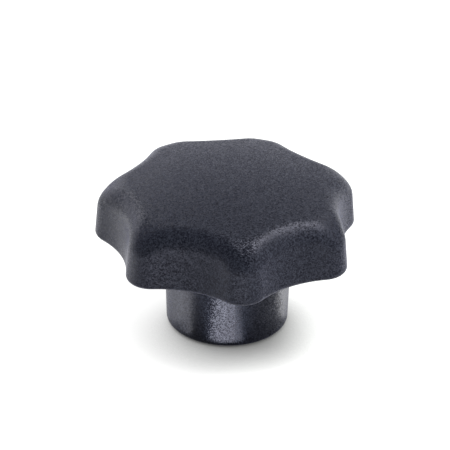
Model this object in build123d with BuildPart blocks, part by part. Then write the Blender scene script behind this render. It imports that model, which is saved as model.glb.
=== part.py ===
from build123d import *
import os
from math import cos, radians, sqrt, tan

# Star knob for clamping by hand: a one-piece moulded body, with a star head of seven lobes on a
# round hub, and a brass bushing with a blind M10 thread moulded into the hub.
# Millimetres. The origin is the centre of the hub's clamping face, and +Z runs up the knob's axis
# to the crown. The front lobe points along -Y.

# Star head
head_diameter = 50.0        # over the lobe tips
head_height = 13.4          # from the rim's lower face to the top of the crown
lobe_count = 7
lobe_nose_radius = 4.7      # round each lobe's tip, at the rim's lower face
scallop_depth = 3.75        # from the lobe tips in to the scallop floor, at the same level
star_draft = 4.5            # degrees that the star's walls lean in towards the crown
crown_radius = 97.0
shoulder_radius = 7.6       # where the crown turns down over the lobes
top_edge_radius = 4.1       # between the crown and the star's walls
rim_edge_radius = 1.0       # along the rim's lower edge

# Hub
hub_diameter = 22.7         # at the clamping face
hub_height = 16.5           # from the clamping face to the rim's lower face
hub_draft = 2.0             # degrees that the hub widens towards the head
hub_edge_radius = 1.1       # round the clamping face

# Pockets that core out the underside of the lobes
skirt_wall = 3.0            # between a pocket and the star's outline, at the rim's lower face
web_thickness = 2.2         # between neighbouring pockets, under the scallops
hub_margin = 0.8            # from the hub's root out to the pockets
pocket_depth = 8.0
pocket_corner_radius = 1.0
pocket_root_radius = 0.7    # round the pocket's ceiling

# Threaded bushing, M10 x 1.5
bushing_length = 20.0
barrel_diameter = 14.0      # over the knurled barrel
collar_diameter = 15.0      # at the clamping face
collar_height = 1.2
groove_diameter = 12.2      # of the groove that locks the bushing into the body
groove_width = 3.0
groove_place = 10.0         # from the clamping face to the middle of the groove
groove_slope = 0.9          # length of each sloping flank of the groove
bushing_chamfer = 0.6
tap_drill_diameter = 8.5    # of the bore that the M10 thread is cut in
mouth_diameter = 10.2       # of the countersink at the bore's mouth
mouth_angle = 120.0         # degrees, of the countersink
thread_depth = 16.5         # from the clamping face to the end of the straight bore
drill_point_angle = 118.0   # degrees

# Worked out from the sizes above
head_radius = head_diameter / 2
rim_level = hub_height
crown_level = rim_level + head_height
pitch_angle = 360 / lobe_count
first_lobe_angle = -90.0
first_scallop_angle = first_lobe_angle + pitch_angle / 2
hub_radius = hub_diameter / 2
hub_root_radius = hub_radius + hub_height * tan(radians(hub_draft))

# The star's outline is an arc round the nose of each lobe, joined to the next by a scallop's arc
# that touches both
nose_place = head_radius - lobe_nose_radius
scallop_floor = head_radius - scallop_depth
nose_reach = nose_place * cos(radians(pitch_angle / 2))
scallop_radius = ((lobe_nose_radius**2 - nose_place**2 - scallop_floor**2
                   + 2 * scallop_floor * nose_reach)
                  / (2 * (scallop_floor - nose_reach - lobe_nose_radius)))
scallop_place = scallop_floor + scallop_radius
nose_centre = Vector(nose_place, 0)
scallop_centre = Vector(scallop_place, 0).rotate(Axis.Z, pitch_angle / 2)
nose_end = nose_centre + (scallop_centre - nose_centre).normalized() * lobe_nose_radius
nose_start = Vector(nose_end.X, -nose_end.Y)
crown_edge_level = crown_level - crown_radius + sqrt(crown_radius**2 - head_radius**2)

# Upright plane through the front lobe's middle, with its x out along -Y and its y up
lobe_plane = Plane(origin=(0, 0, 0), x_dir=(0, -1, 0), z_dir=(-1, 0, 0))

# Half section of the bushing's outside, which is also the half section of its cavity in the body
barrel_radius = barrel_diameter / 2
collar_radius = collar_diameter / 2
groove_radius = groove_diameter / 2
groove_bottom = groove_place - groove_width / 2
groove_top = groove_place + groove_width / 2
bushing_outline = [
    (0, 0),
    (collar_radius, 0),
    (collar_radius, collar_height),
    (barrel_radius, collar_height),
    (barrel_radius, groove_bottom),
    (groove_radius, groove_bottom + groove_slope),
    (groove_radius, groove_top - groove_slope),
    (barrel_radius, groove_top),
    (barrel_radius, bushing_length - bushing_chamfer),
    (barrel_radius - bushing_chamfer, bushing_length),
    (0, bushing_length),
]

# Half section of the bore: countersunk mouth, straight wall and drill point
bore_radius = tap_drill_diameter / 2
mouth_radius = mouth_diameter / 2
mouth_depth = (mouth_radius - bore_radius) / tan(radians(mouth_angle / 2))
drill_point_height = bore_radius / tan(radians(drill_point_angle / 2))
bore_outline = [
    (0, 0),
    (mouth_radius, 0),
    (bore_radius, mouth_depth),
    (bore_radius, thread_depth),
    (0, thread_depth + drill_point_height),
]

with BuildPart() as knob_body:
    # Star: a drafted prism, taller than the crown that trims it
    with BuildSketch(Plane.XY.offset(rim_level)):
        with BuildLine():
            for lobe in range(lobe_count):
                lobe_angle = first_lobe_angle + lobe * pitch_angle
                ThreePointArc(nose_start.rotate(Axis.Z, lobe_angle),
                              Vector(head_radius, 0).rotate(Axis.Z, lobe_angle),
                              nose_end.rotate(Axis.Z, lobe_angle))
                ThreePointArc(nose_end.rotate(Axis.Z, lobe_angle),
                              Vector(scallop_floor, 0).rotate(Axis.Z, lobe_angle + pitch_angle / 2),
                              nose_start.rotate(Axis.Z, lobe_angle + pitch_angle))
        make_face()
    extrude(amount=head_height + top_edge_radius)
    draft(faces().filter_by(GeomType.CYLINDER), Plane.XY.offset(rim_level), star_draft)

    # Crown: a dome that turns down in a round shoulder over the lobes
    with BuildSketch(lobe_plane):
        with BuildLine():
            Polyline((0, crown_level), (0, rim_level), (head_radius, rim_level),
                     (head_radius, crown_edge_level))
            RadiusArc((head_radius, crown_edge_level), (0, crown_level), -crown_radius)
        make_face()
        fillet(vertices().group_by(Axis.X)[-1].sort_by(Axis.Y)[-1], shoulder_radius)
    revolve(axis=Axis.Z, mode=Mode.INTERSECT)
    star_walls = faces().filter_by(GeomType.CONE)
    top_edges = star_walls.edges().filter_by(GeomType.LINE, reverse=True).filter_by_position(
        Axis.Z, rim_level + rim_edge_radius, crown_level)
    fillet(top_edges, top_edge_radius)
    fillet(faces().sort_by(Axis.Z)[0].edges(), rim_edge_radius)

    # One pocket in each lobe, from the rim's lower face up into the head
    with BuildSketch(Plane.XY.offset(rim_level)):
        Circle(head_radius - skirt_wall)
        with PolarLocations(scallop_place, lobe_count, start_angle=first_scallop_angle):
            Circle(scallop_radius + skirt_wall, mode=Mode.SUBTRACT)
        with PolarLocations(head_radius / 2, lobe_count, start_angle=first_scallop_angle):
            Rectangle(head_radius, web_thickness, mode=Mode.SUBTRACT)
        Circle(hub_root_radius + hub_margin, mode=Mode.SUBTRACT)
        fillet(vertices(), pocket_corner_radius)
    extrude(amount=pocket_depth, mode=Mode.SUBTRACT)
    fillet(faces().filter_by(Plane.XY).group_by(Axis.Z)[-1].edges(), pocket_root_radius)

    # Hub
    with BuildSketch(lobe_plane):
        with BuildLine():
            Polyline((0, 0), (hub_radius, 0), (hub_root_radius, hub_height), (0, hub_height),
                     close=True)
        make_face()
        fillet(vertices().group_by(Axis.Y)[0].sort_by(Axis.X)[-1], hub_edge_radius)
    revolve(axis=Axis.Z)

    # Cavity that the bushing fills
    with BuildSketch(lobe_plane):
        with BuildLine():
            Polyline(*bushing_outline, close=True)
        make_face()
    revolve(axis=Axis.Z, mode=Mode.SUBTRACT)

with BuildPart() as threaded_bushing:
    with BuildSketch(lobe_plane):
        with BuildLine():
            Polyline(*bushing_outline, close=True)
        make_face()
    revolve(axis=Axis.Z)
    with BuildSketch(lobe_plane):
        with BuildLine():
            Polyline(*bore_outline, close=True)
        make_face()
    revolve(axis=Axis.Z, mode=Mode.SUBTRACT)

knob_body.part.label = "knob_body"
threaded_bushing.part.label = "threaded_bushing"

os.makedirs("parts", exist_ok=True)
export_step(knob_body.part, "parts/knob_body.step")
export_step(threaded_bushing.part, "parts/threaded_bushing.step")
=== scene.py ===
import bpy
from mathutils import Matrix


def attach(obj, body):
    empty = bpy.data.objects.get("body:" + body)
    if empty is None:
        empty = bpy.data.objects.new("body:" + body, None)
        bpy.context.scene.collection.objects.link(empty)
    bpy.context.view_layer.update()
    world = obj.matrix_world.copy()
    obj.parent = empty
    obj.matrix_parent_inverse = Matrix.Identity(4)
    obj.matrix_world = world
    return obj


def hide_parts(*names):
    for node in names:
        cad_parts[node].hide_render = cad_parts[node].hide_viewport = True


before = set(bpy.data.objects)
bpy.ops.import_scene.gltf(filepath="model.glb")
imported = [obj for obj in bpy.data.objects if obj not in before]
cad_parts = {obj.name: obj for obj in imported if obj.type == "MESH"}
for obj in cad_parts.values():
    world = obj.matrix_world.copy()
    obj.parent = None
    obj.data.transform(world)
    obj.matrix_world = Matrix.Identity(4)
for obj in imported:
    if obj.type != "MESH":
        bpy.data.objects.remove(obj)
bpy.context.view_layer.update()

import math

import bmesh
import bpy
import numpy as np
from mathutils import Euler, Vector

MM = 0.001

# Star knob: a moulded body with seven lobes on a round hub, and a brass bushing in the hub.
# The sizes are the frame's: z = 0 is the hub's clamping face and the front lobe points along -Y.

RIM_LEVEL = 16.5 * MM           # the lower face of the lobes

# Threaded bushing, M10 x 1.5
BUSHING_LENGTH = 20.0 * MM
BARREL_RADIUS = 7.0 * MM
COLLAR_RADIUS = 7.5 * MM
COLLAR_HEIGHT = 1.2 * MM
COLLAR_BREAK = 0.15 * MM        # broken edge round the collar's face
GROOVE_RADIUS = 6.1 * MM
GROOVE_BOTTOM = 8.5 * MM
GROOVE_TOP = 11.5 * MM
GROOVE_SLOPE = 0.9 * MM
BUSHING_CHAMFER = 0.6 * MM
MOUTH_RADIUS = 5.1 * MM
MOUTH_SLOPE = math.tan(math.radians(60))    # radius that the 120 degree countersink loses by depth
BORE_RADIUS = 4.25 * MM                     # the thread's crests
THREAD_ROOT_RADIUS = 5.0 * MM
THREAD_PITCH = 1.5 * MM
THREAD_DEPTH = 16.5 * MM
THREAD_RUNOUT = 2.0 * MM                    # length over which the last turns fade out
SPARE_TURNS = 2                             # turns worked out past each end, which the ends cut off
DRILL_POINT_HEIGHT = BORE_RADIUS / math.tan(math.radians(59))
DRILL_TIP_RADIUS = 0.3 * MM                 # inside which the drill point is smoothed over
# One pitch of the thread from the middle of a crest: places along it, and how far down to the root
TURN_PLACES = np.array([0.00, 0.12, 0.16, 0.20, 0.40, 0.43, 0.46, 0.54, 0.57, 0.60, 0.80, 0.84, 0.88])
TURN_DEPTHS = np.array([0.00, 0.00, 0.02, 0.10, 0.90, 0.98, 1.00, 1.00, 0.98, 0.90, 0.10, 0.02, 0.00])
BUSHING_SIDES = 96
SHARP_ANGLE = 30                            # degrees, past which an edge of the bushing is sharp
WELD = 0.001 * MM


# ---------------------------------------------------------------- materials

GRAIN_SIZE = 0.20 * MM          # across a crater, drawn coarser than the real grain so that it shows
GRAIN_TILT = 0.26               # sideways reach of a crater's normal, from one end to the other
FLOW_SIZE = 7 * MM              # over which the moulding's gloss drifts
RING_SPACING = 0.283 * MM       # between tool marks on the brass, drawn wide enough to show
RING_HEIGHT = 0.01 * MM
TARNISH_SIZE = 2.5 * MM
WAVE_PERIOD = math.pi / 10      # length of one wave of a Wave Texture whose scale is 1


def srgb(hex_colour):
    """Linear RGBA of an sRGB hex colour."""
    parts = [int(hex_colour[i:i + 2], 16) / 255 for i in (1, 3, 5)]
    return [p / 12.92 if p <= 0.04045 else ((p + 0.055) / 1.055) ** 2.4 for p in parts] + [1.0]


def add_node(tree, kind, inputs=None, **settings):
    """New node of a kind. The settings are the node's own, such as an operation. The inputs go by
    their names or numbers, and each is a value, or a socket to link."""
    node = tree.nodes.new(kind)
    for name, value in settings.items():
        setattr(node, name, value)
    for name, value in (inputs or {}).items():
        if isinstance(value, bpy.types.NodeSocket):
            tree.links.new(value, node.inputs[name])
        else:
            node.inputs[name].default_value = value
    return node


def new_material(name):
    """Empty material, its tree and its Object coordinates."""
    material = bpy.data.materials.new(name)
    material.use_nodes = True
    tree = material.node_tree
    tree.nodes.clear()
    return material, tree, add_node(tree, "ShaderNodeTexCoord").outputs["Object"]


def matt_technopolymer():
    """Glass-filled polyamide, moulded blue-black. The mould was spark-eroded, which gives the eye a
    fine grain with a soft sheen that breaks up into glints along each highlight."""
    material, tree, place = new_material("matt_technopolymer")
    # Craters of the spark-eroded mould, each turned its own way: they glint where the light changes
    craters = add_node(tree, "ShaderNodeTexVoronoi", {"Vector": place, "Scale": 1 / GRAIN_SIZE})
    face = add_node(tree, "ShaderNodeNewGeometry")
    tilted = add_node(tree, "ShaderNodeVectorMath",
                      {0: craters.outputs["Color"], 1: (GRAIN_TILT,) * 3, 2: face.outputs["Normal"]},
                      operation="MULTIPLY_ADD")
    centred = add_node(tree, "ShaderNodeVectorMath",
                       {0: tilted.outputs[0], 1: (GRAIN_TILT / 2,) * 3}, operation="SUBTRACT")
    grain = add_node(tree, "ShaderNodeVectorMath", {0: centred.outputs[0]}, operation="NORMALIZE")
    # Flow of the melt: the gloss drifts a little over a few millimetres
    flow = add_node(tree, "ShaderNodeTexNoise",
                    {"Vector": place, "Scale": 1 / FLOW_SIZE, "Detail": 2.0})
    gloss = add_node(tree, "ShaderNodeMapRange",
                     {"Value": flow.outputs["Fac"], "To Min": 0.33, "To Max": 0.37})
    # Craters differ in depth by chance, and a deep one is darker and duller
    level = add_node(tree, "ShaderNodeSeparateXYZ", {"Vector": craters.outputs["Color"]})
    colour = add_node(tree, "ShaderNodeMixRGB",
                      {"Fac": level.outputs["X"],
                       "Color1": srgb("#030407"), "Color2": srgb("#1F2229")})
    shine = add_node(tree, "ShaderNodeMixRGB",
                     {"Fac": level.outputs["X"],
                      "Color1": srgb("#8A8A9A"), "Color2": srgb("#EAEAFF")})
    # The grain swallows part of the reflection, and shows bluish where the light grazes it
    shader = add_node(tree, "ShaderNodeBsdfPrincipled",
                      {"Base Color": colour.outputs["Color"], "Roughness": gloss.outputs["Result"],
                       "Normal": grain.outputs[0], "Specular Tint": shine.outputs["Color"],
                       "Specular IOR Level": 0.19, "Sheen Weight": 0.042,
                       "Sheen Tint": srgb("#4C4EFF")})
    add_node(tree, "ShaderNodeOutputMaterial", {"Surface": shader.outputs["BSDF"]})
    return material


def turned_brass():
    """Free-cutting brass, turned, which gives the eye fine rings round the axis on the face, a
    bright thread, and dull patches where it has tarnished a little since it was cut."""
    material, tree, place = new_material("turned_brass")
    rings = add_node(tree, "ShaderNodeTexWave",
                     {"Vector": place, "Scale": WAVE_PERIOD / RING_SPACING,
                      "Distortion": 0.4, "Detail": 1.0},
                     wave_type="RINGS", rings_direction="Z")
    bump = add_node(tree, "ShaderNodeBump",
                    {"Strength": 0.35, "Distance": RING_HEIGHT, "Height": rings.outputs["Fac"]})
    tarnish = add_node(tree, "ShaderNodeTexNoise",
                       {"Vector": place, "Scale": 1 / TARNISH_SIZE, "Detail": 4.0})
    patches = add_node(tree, "ShaderNodeMapRange",
                       {"Value": tarnish.outputs["Fac"], "From Min": 0.35, "From Max": 0.70})
    colour = add_node(tree, "ShaderNodeMixRGB",
                      {"Fac": patches.outputs["Result"],
                       "Color1": srgb("#DCC382"), "Color2": srgb("#AD8E4C")})
    gloss = add_node(tree, "ShaderNodeMapRange",
                     {"Value": patches.outputs["Result"], "To Min": 0.24, "To Max": 0.42})
    shader = add_node(tree, "ShaderNodeBsdfPrincipled",
                      {"Base Color": colour.outputs["Color"], "Metallic": 1.0,
                       "Roughness": gloss.outputs["Result"], "Normal": bump.outputs["Normal"]})
    add_node(tree, "ShaderNodeOutputMaterial", {"Surface": shader.outputs["BSDF"]})
    return material


# ---------------------------------------------------------------- camera

LOOK_AT = Vector((0.0, 0.0, RIM_LEVEL))     # the axis at the rim's lower face
CAMERA_AZIMUTH = -7.59                      # degrees round the knob from -Y, negative towards -X
CAMERA_ELEVATION = 29.23                    # degrees above the floor
CAMERA_ROLL = 0.76                          # degrees
CAMERA_DISTANCE = 0.7593
CAMERA_SENSOR = 36                          # mm
CAMERA_LENS = 325.7                         # mm
CAMERA_AIM_RIGHT = -0.60 * MM               # from LOOK_AT to the picture's middle
CAMERA_AIM_UP = 2.88 * MM


def add_camera():
    """Camera that looks down on the knob's front, and leans a little."""
    turn = Euler((math.radians(90 - CAMERA_ELEVATION), 0, math.radians(CAMERA_AZIMUTH))).to_matrix()
    right, up, back = turn.col[0], turn.col[1], turn.col[2]
    roll = Euler((0, 0, math.radians(CAMERA_ROLL))).to_matrix()
    data = bpy.data.cameras.new("camera")
    data.sensor_width = CAMERA_SENSOR
    data.lens = CAMERA_LENS
    data.clip_start = 10 * MM
    camera = bpy.data.objects.new("camera", data)
    bpy.context.scene.collection.objects.link(camera)
    camera.matrix_world = (turn @ roll).to_4x4()
    camera.location = (LOOK_AT + right * CAMERA_AIM_RIGHT + up * CAMERA_AIM_UP
                       + back * CAMERA_DISTANCE)
    bpy.context.scene.camera = camera


# ---------------------------------------------------------------- light and floor
# Azimuths go round the knob from the camera's side towards the camera's right. Azimuths and
# elevations are in degrees, sizes and places in metres and powers in watts.

AMBIENT = 0.15                  # strength of the grey surroundings, as light on the knob

# Softboxes round the knob: name, azimuth, elevation, width, height, power
SOFTBOX_DISTANCE = 0.8
SOFTBOXES = [
    ("softbox_over", 103, 60, 0.50, 0.30, 9.2),
    ("softbox_right", 74, 36, 0.75, 0.36, 2.4),
    ("softbox_left", 222, 25, 0.70, 0.42, 2.0),
    ("low_strip_right", 70, 8, 0.85, 0.22, 1.2),
    ("low_strip_left", 252, 8, 0.66, 0.22, 0.9),
]

# Bright cards that lie on the floor and shine up: name, azimuth, nearest and farthest reach from
# the knob's axis, width, power
CARD_HEIGHT = 0.5 * MM
FLOOR_CARDS = [
    ("wide_card_left", 299, 0.05, 0.13, 0.07, 0.028),
    ("wide_card_right", 42, 0.05, 0.13, 0.07, 0.020),
    ("wide_card_front", 0, 0.05, 0.13, 0.10, 0.014),
    ("far_card_front", 0, 0.06, 0.40, 0.12, 0.46),
    ("far_card_left", 270, 0.06, 0.40, 0.12, 0.18),
]

# Small cards that stand leaning outwards under the lobes and shine on the hub: name, azimuth,
# width, power
HUB_CARD_FOOT = 12.3 * MM       # from the knob's axis
HUB_CARD_LENGTH = 14.5 * MM
HUB_CARD_AIM = 32               # elevation that a card shines at
HUB_CARD_SPREAD = 66            # degrees across its beam
HUB_CARDS = [
    ("hub_card_front", -1, 7.5 * MM, 0.0011),
    ("hub_card_right", 107, 15 * MM, 0.0006),
    ("hub_card_left", 268, 20 * MM, 0.0004),
    ("hub_card_left_front", 302, 8 * MM, 0.0004),
]

# Softbox below the floor. The floor lets its light through only under the hub, onto the hub's face
# and the thread
UNDER_DIRECTION = (0.25, -0.35, -1.0)
UNDER_DISTANCE = 0.5
UNDER_SIZE = 0.3
UNDER_POWER = 2.0

FLOOR_REACH = 1.5
FLOOR_OPENING = 10.2 * MM       # radius, a little less than that of the hub's face, which covers it
FLOOR_DROP = 0.05 * MM          # keeps the floor clear of the hub's face
FLOOR_SIDES = 64
# White glow that the floor shows as a background, besides the lamps' light. A painted shadow darkens
# it near the knob: ambient occlusion towards a fixed direction behind the knob fades it, most in
# front of the hub
GLOW = 1.07
PAINTED_SHADOW_REACH = 12.5 * MM          # how near the knob has to be to take from that white
PAINTED_SHADOW_FALL = 1.6                 # power that the share left is raised to
PAINTED_SHADOW_AZIMUTH = 200
PAINTED_SHADOW_ELEVATION = 42


def studio_direction(azimuth, elevation):
    """Unit vector from the knob towards an azimuth and elevation."""
    a, e = math.radians(azimuth + CAMERA_AZIMUTH), math.radians(elevation)
    return Vector((math.sin(a) * math.cos(e), -math.cos(a) * math.cos(e), math.sin(e)))


def add_lamp(name, place, back, width, height, power):
    """Rectangular lamp that the camera doesn't see. Its back faces the direction back, and it
    shines the other way."""
    data = bpy.data.lights.new(name, "AREA")
    data.shape = "RECTANGLE"
    data.size, data.size_y = width, height
    data.energy = power
    lamp = bpy.data.objects.new(name, data)
    bpy.context.scene.collection.objects.link(lamp)
    lamp.visible_camera = False
    lamp.location = place
    lamp.rotation_euler = back.to_track_quat("Z", "Y").to_euler()
    return lamp


def add_lamps():
    """All softboxes and cards."""
    for name, azimuth, elevation, width, height, power in SOFTBOXES:
        back = studio_direction(azimuth, elevation)
        add_lamp(name, LOOK_AT + back * SOFTBOX_DISTANCE, back, width, height, power)
    for name, azimuth, near, far, width, power in FLOOR_CARDS:
        place = studio_direction(azimuth, 0) * (near + far) / 2 + Vector((0, 0, CARD_HEIGHT))
        card = add_lamp(name, place, Vector((0, 0, -1)), width, far - near, power)
        card.rotation_euler = (math.pi, 0, math.radians(azimuth + CAMERA_AZIMUTH))
    for name, azimuth, width, power in HUB_CARDS:
        foot = studio_direction(azimuth, 0) * HUB_CARD_FOOT + Vector((0, 0, CARD_HEIGHT))
        rise = studio_direction(azimuth, 90 - HUB_CARD_AIM)
        card = add_lamp(name, foot + rise * HUB_CARD_LENGTH / 2,
                        studio_direction(azimuth, -HUB_CARD_AIM), width, HUB_CARD_LENGTH, power)
        card.data.spread = math.radians(HUB_CARD_SPREAD)
    back = Vector(UNDER_DIRECTION).normalized()
    add_lamp("softbox_under", back * UNDER_DISTANCE, back, UNDER_SIZE, UNDER_SIZE, UNDER_POWER)


def background_rays(tree):
    """Socket that is 1 for the rays that show a background: those of the camera, and those that
    come to it by reflection or through glass."""
    rays = add_node(tree, "ShaderNodeLightPath")
    shown = rays.outputs["Is Camera Ray"]
    for kind in ("Is Glossy Ray", "Is Transmission Ray"):
        either = add_node(tree, "ShaderNodeMath", {0: shown, 1: rays.outputs[kind]},
                          operation="MAXIMUM")
        shown = either.outputs[0]
    return shown


def add_world():
    """Plain grey surroundings that look white, also in a reflection."""
    world = bpy.data.worlds.new("studio")
    bpy.context.scene.world = world
    world.use_nodes = True
    tree = world.node_tree
    tree.nodes.clear()
    grey = add_node(tree, "ShaderNodeBackground", {"Color": srgb("#FFFFFF"), "Strength": AMBIENT})
    white = add_node(tree, "ShaderNodeBackground", {"Color": srgb("#FFFFFF"), "Strength": 1.0})
    seen = add_node(tree, "ShaderNodeMixShader",
                    {0: background_rays(tree), 1: grey.outputs[0], 2: white.outputs[0]})
    add_node(tree, "ShaderNodeOutputWorld", {"Surface": seen.outputs[0]})


def white_floor():
    """White paper that keeps the knob's shadow from the lamps, with a painted shadow in its glow near
    the knob, and is clear when seen from underneath.
    """
    material, tree, _ = new_material("white_floor")
    shown = background_rays(tree)
    # The paper is white in the light that it throws on the knob. As a background it is greyer,
    # because the glow adds most of its white there
    tone = add_node(tree, "ShaderNodeMixRGB",
                    {"Fac": shown, "Color1": srgb("#E6E5E6"), "Color2": srgb("#7C7E7B")})
    paper = add_node(tree, "ShaderNodeBsdfDiffuse", {"Color": tone.outputs["Color"]})
    # Painted shadow: the glow is darkened by ambient occlusion where the knob hides the glow's own
    # direction, which is linked because the node otherwise takes the floor's normal
    source = add_node(tree, "ShaderNodeVectorMath",
                      {0: studio_direction(PAINTED_SHADOW_AZIMUTH, PAINTED_SHADOW_ELEVATION)}, operation="NORMALIZE")
    painted_shadow_share = add_node(tree, "ShaderNodeAmbientOcclusion",
                          {"Distance": PAINTED_SHADOW_REACH, "Normal": source.outputs[0]}, samples=8)
    fall = add_node(tree, "ShaderNodeMath", {0: painted_shadow_share.outputs["AO"], 1: PAINTED_SHADOW_FALL},
                    operation="POWER")
    share = add_node(tree, "ShaderNodeMath", {0: fall.outputs[0], 1: shown}, operation="MULTIPLY")
    strength = add_node(tree, "ShaderNodeMath", {0: share.outputs[0], 1: GLOW},
                        operation="MULTIPLY")
    glow = add_node(tree, "ShaderNodeEmission",
                    {"Color": srgb("#FFFFFF"), "Strength": strength.outputs[0]})
    lit = add_node(tree, "ShaderNodeAddShader", {0: paper.outputs[0], 1: glow.outputs[0]})
    clear = add_node(tree, "ShaderNodeBsdfTransparent")
    side = add_node(tree, "ShaderNodeNewGeometry")
    both = add_node(tree, "ShaderNodeMixShader",
                    {0: side.outputs["Backfacing"], 1: lit.outputs[0], 2: clear.outputs[0]})
    add_node(tree, "ShaderNodeOutputMaterial", {"Surface": both.outputs[0]})
    material.cycles.emission_sampling = "NONE"
    return material


def add_floor():
    """Floor with an opening under the hub, so that light reaches the hub's face."""
    ring = [(FLOOR_REACH, -FLOOR_DROP), (FLOOR_OPENING, -FLOOR_DROP)]
    mesh = bpy.data.meshes.new("floor")
    mesh.from_pydata(turned_surface(ring, FLOOR_SIDES).tolist(), [],
                     grid_faces(len(ring), FLOOR_SIDES).tolist())
    mesh.materials.append(white_floor())
    floor = bpy.data.objects.new("floor", mesh)
    bpy.context.scene.collection.objects.link(floor)


# ---------------------------------------------------------------- pieces

def grid_faces(rows, columns, shift=0):
    """Quads of a grid that closes round on itself; its last column meets its first one shift
    rows further on."""
    row, column = np.meshgrid(np.arange(rows - 1), np.arange(columns), indexing="ij")
    a = row * columns + column
    b = (row + shift * (column == columns - 1)) * columns + (column + 1) % columns
    quads = np.stack([a, b, b + columns, a + columns], -1).reshape(-1, 4)
    return quads[quads.max(1) < rows * columns]


def turned_surface(outline, columns):
    """Surface (r cos t, r sin t, z) for each (r, z) of the outline and each angle t."""
    t = np.linspace(0, 2 * math.pi, columns, endpoint=False)
    r, z = np.array(outline).T[:, :, None]
    return np.stack([r * np.cos(t), r * np.sin(t), z + 0 * t], -1).reshape(-1, 3)


def thread_surface(columns):
    """Surface (r cos t, r sin t, z) of an internal thread, and its faces. z is s plus the pitch
    times t / 2 pi, held between the mouth and the thread's end. r is the greater of two radii:
    the crest's, plus the thread's height times the profile at s / pitch and times the fade at z,
    and the countersink's at z. The profile is the 60 degree one, 0 on a crest and 1 at the root."""
    turns = int(THREAD_DEPTH / THREAD_PITCH) + 2 * SPARE_TURNS
    s = ((np.arange(turns)[:, None] + TURN_PLACES).ravel() - SPARE_TURNS) * THREAD_PITCH
    profile = np.tile(TURN_DEPTHS, turns)[:, None]
    t = np.linspace(0, 2 * math.pi, columns, endpoint=False)
    z = np.clip(s[:, None] + THREAD_PITCH * t / (2 * math.pi), 0, THREAD_DEPTH)
    fade = np.clip((THREAD_DEPTH - z) / THREAD_RUNOUT, 0, 1)
    r = BORE_RADIUS + (THREAD_ROOT_RADIUS - BORE_RADIUS) * profile * fade
    r = np.maximum(r, MOUTH_RADIUS - z * MOUTH_SLOPE)
    points = np.stack([r * np.cos(t), r * np.sin(t), z], -1).reshape(-1, 3)
    return points, grid_faces(len(s), columns, len(TURN_PLACES))


def join_surfaces(name, surfaces, material):
    """Piece with one closed mesh of several surfaces, welded where they meet and at their poles."""
    first_points = np.cumsum([0] + [len(points) for points, _ in surfaces])
    mesh = bpy.data.meshes.new(name)
    mesh.from_pydata(
        np.concatenate([points for points, _ in surfaces]).tolist(), [],
        np.concatenate([faces + first for (_, faces), first in zip(surfaces, first_points)]).tolist())
    form = bmesh.new()
    form.from_mesh(mesh)
    bmesh.ops.remove_doubles(form, verts=form.verts, dist=WELD)
    bmesh.ops.recalc_face_normals(form, faces=form.faces)
    form.to_mesh(mesh)
    form.free()
    mesh.materials.append(material)
    mesh.shade_smooth()
    mesh.set_sharp_from_angle(angle=math.radians(SHARP_ANGLE))
    piece = bpy.data.objects.new(name, mesh)
    bpy.context.scene.collection.objects.link(piece)
    return piece


def add_bushing(material):
    """Brass bushing: its turned outside, the threaded bore and the drill point."""
    outside = [
        (MOUTH_RADIUS, 0),
        (COLLAR_RADIUS - COLLAR_BREAK, 0),
        (COLLAR_RADIUS, COLLAR_BREAK),
        (COLLAR_RADIUS, COLLAR_HEIGHT),
        (BARREL_RADIUS, COLLAR_HEIGHT),
        (BARREL_RADIUS, GROOVE_BOTTOM),
        (GROOVE_RADIUS, GROOVE_BOTTOM + GROOVE_SLOPE),
        (GROOVE_RADIUS, GROOVE_TOP - GROOVE_SLOPE),
        (BARREL_RADIUS, GROOVE_TOP),
        (BARREL_RADIUS, BUSHING_LENGTH - BUSHING_CHAMFER),
        (BARREL_RADIUS - BUSHING_CHAMFER, BUSHING_LENGTH),
        (0, BUSHING_LENGTH),
    ]
    drill_point = [
        (BORE_RADIUS, THREAD_DEPTH),
        (DRILL_TIP_RADIUS,
         THREAD_DEPTH + DRILL_POINT_HEIGHT * (1 - DRILL_TIP_RADIUS / BORE_RADIUS)),
        (0, THREAD_DEPTH + DRILL_POINT_HEIGHT),
    ]
    surfaces = [thread_surface(BUSHING_SIDES)]
    for outline in (outside, drill_point):
        surfaces.append((turned_surface(outline, BUSHING_SIDES),
                         grid_faces(len(outline), BUSHING_SIDES)))
    bushing = join_surfaces("bushing_with_thread", surfaces, material)
    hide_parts("threaded_bushing")
    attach(bushing, "root")


add_camera()
add_world()
add_floor()
add_lamps()
bpy.context.scene.view_settings.view_transform = "Standard"

moulded = matt_technopolymer()
for material_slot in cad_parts["knob_body"].material_slots:
    material_slot.material = moulded
add_bushing(turned_brass())
